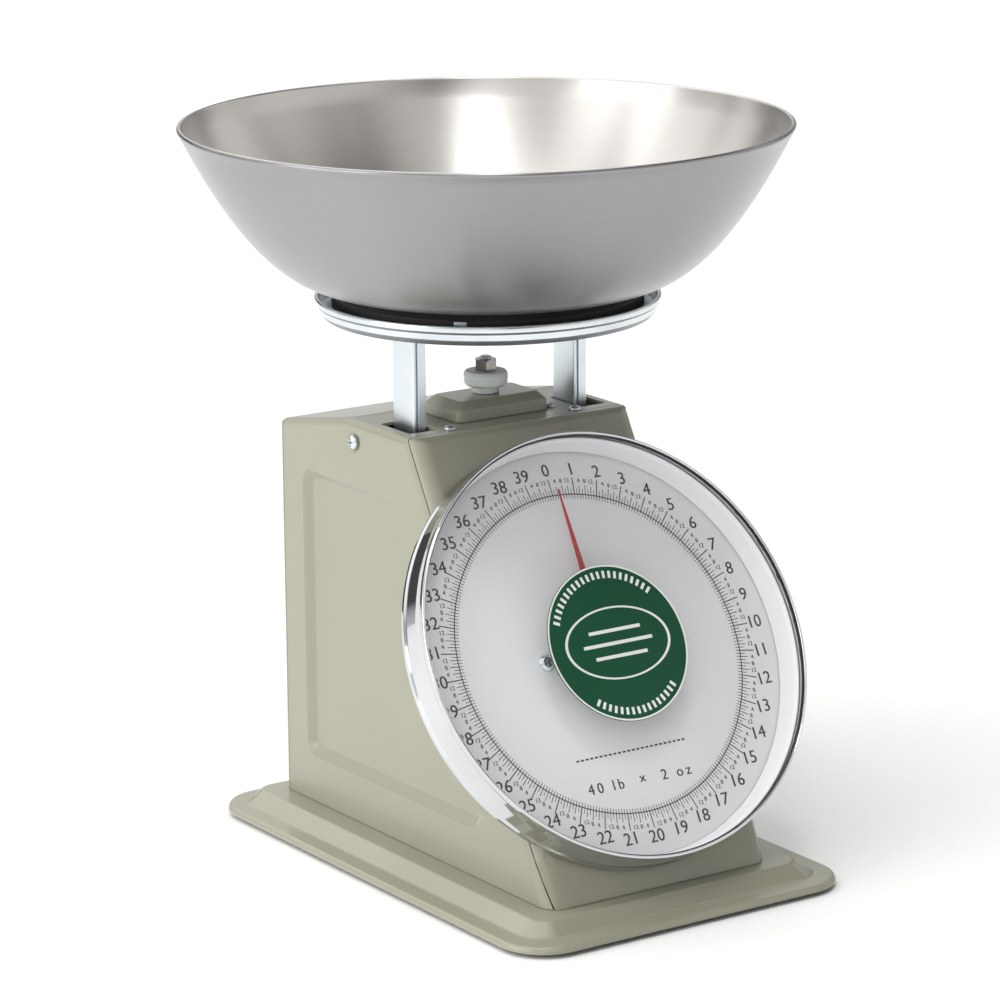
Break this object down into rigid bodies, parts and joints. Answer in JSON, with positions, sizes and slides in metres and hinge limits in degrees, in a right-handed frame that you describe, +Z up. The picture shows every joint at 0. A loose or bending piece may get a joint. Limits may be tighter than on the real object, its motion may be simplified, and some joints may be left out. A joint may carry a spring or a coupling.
{
  "type": "kitchen scale",
  "caption": "Dial kitchen scale: enamelled housing on a flanged base, tilted round dial, sprung platform on two posts, zero adjuster and a lift-off steel bowl.",
  "frame": {"origin": "middle of the outer box's footprint, on the surface that the feet stand on", "axes": "+Z up; the dial faces -Y and leans back; +X is to the right of somebody who reads the dial"},
  "size_m": [0.3, 0.325, 0.362],
  "materials": {
    "enamel": "gloss grey-green stoved enamel",
    "chrome": "polished",
    "zinc_plate": "bright zinc plate on folded or pressed steel",
    "stainless": "spun stainless steel, satin with fine turning marks",
    "brass": "satin",
    "spring_steel": "oiled steel",
    "black_rubber": "matt",
    "white_paint": "semi-gloss white, black graduations on the dial plate",
    "red_paint": "semi-gloss",
    "green_label": "printed film",
    "white_nylon": "moulded",
    "clear_window": "clear, flat"
  },
  "bodies": {
    "housing": {"base_plate": "enamel", "foot_front_left": "black_rubber", "foot_front_right": "black_rubber", "foot_back_left": "black_rubber", "foot_back_right": "black_rubber", "housing_shell": "enamel", "front_panel": "enamel", "rear_cover": "enamel", "adjuster_cover": "enamel", "top_screw_1": "zinc_plate", "top_screw_2": "zinc_plate", "side_screw_left": "zinc_plate", "side_screw_right": "zinc_plate", "rear_screw_1": "zinc_plate", "rear_screw_2": "zinc_plate", "dial_pan": "white_paint", "dial_plate": "white_paint", "dial_screw_left": "zinc_plate", "dial_screw_right": "zinc_plate", "spacer_ring": "white_paint", "window": "clear_window", "window_label": "green_label", "bezel": "chrome", "movement_front_plate": "zinc_plate", "movement_rear_plate": "zinc_plate", "movement_pillar_1": "brass", "movement_pillar_2": "brass", "movement_pillar_3": "brass", "front_bush": "brass", "rear_bush": "brass", "rack_guide": "brass", "chassis": "zinc_plate", "lever_stand": "zinc_plate", "lever_pin": "spring_steel"},
    "load_frame": {"post_left": "zinc_plate", "post_right": "zinc_plate", "load_bridge": "zinc_plate", "bridge_bolt_left": "zinc_plate", "bridge_bolt_right": "zinc_plate", "lever_clevis": "zinc_plate", "clevis_pin": "spring_steel", "rack_arm": "zinc_plate", "compensator_strip": "brass", "cross_bracket": "zinc_plate", "platform": "zinc_plate", "seat_ring": "black_rubber", "spring_left": "spring_steel", "spring_right": "spring_steel"},
    "bowl": {"bowl": "stainless"},
    "pointer": {"pointer": "red_paint", "pointer_hub": "brass", "pointer_shaft": "spring_steel", "pinion": "brass"},
    "rack": {"rack": "brass", "crosshead_pin": "spring_steel"},
    "check_lever": {"check_lever": "zinc_plate"},
    "zero_wheel": {"zero_wheel": "white_nylon"},
    "spring_hanger": {"zero_stud": "zinc_plate", "lock_nut": "spring_steel", "spring_hanger": "zinc_plate"}
  },
  "joints": [
    {"name": "platform_slide", "type": "slide", "parent": "housing", "child": "load_frame", "axis": [0, 0, -1], "range_m": [0, 0.01472], "stiffness_N_per_m": 12090, "springref_m": -0.0025, "deforming": ["spring_left", "spring_right"]},
    {"name": "bowl_lift", "type": "slide", "parent": "load_frame", "child": "bowl", "axis": [0, 0, 1], "range_m": [0, 0.12]},
    {"name": "pointer_turn", "type": "hinge", "parent": "housing", "child": "pointer", "pos_m": [0, -0.0819, 0.1166], "axis": [0, 0.8678, -0.497], "range_deg": [0, 361]},
    {"name": "rack_slide", "type": "slide", "parent": "housing", "child": "rack", "axis": [0, -0.497, -0.8678], "range_m": [0, 0.0171]},
    {"name": "check_lever_turn", "type": "hinge", "parent": "housing", "child": "check_lever", "pos_m": [0.026, 0.08, 0.066], "axis": [1, 0, 0], "range_deg": [0, 17]},
    {"name": "zero_wheel_turn", "type": "hinge", "parent": "housing", "child": "zero_wheel", "pos_m": [0, 0.015, 0.2336], "axis": [0, 0, -1], "range_deg": [0, 1090]},
    {"name": "spring_hanger_slide", "type": "slide", "parent": "housing", "child": "spring_hanger", "axis": [0, 0, 1], "range_m": [0, 0.003]}
  ],
  "couplings": [
    {"joint": "pointer_turn", "follows": "platform_slide", "rad_per_m": 426.81},
    {"joint": "rack_slide", "follows": "platform_slide", "ratio": 1.1524},
    {"joint": "check_lever_turn", "follows": "platform_slide", "rad_per_m": 18.85},
    {"joint": "zero_wheel_turn", "follows": "spring_hanger_slide", "rad_per_m": 6283.2}
  ]
}
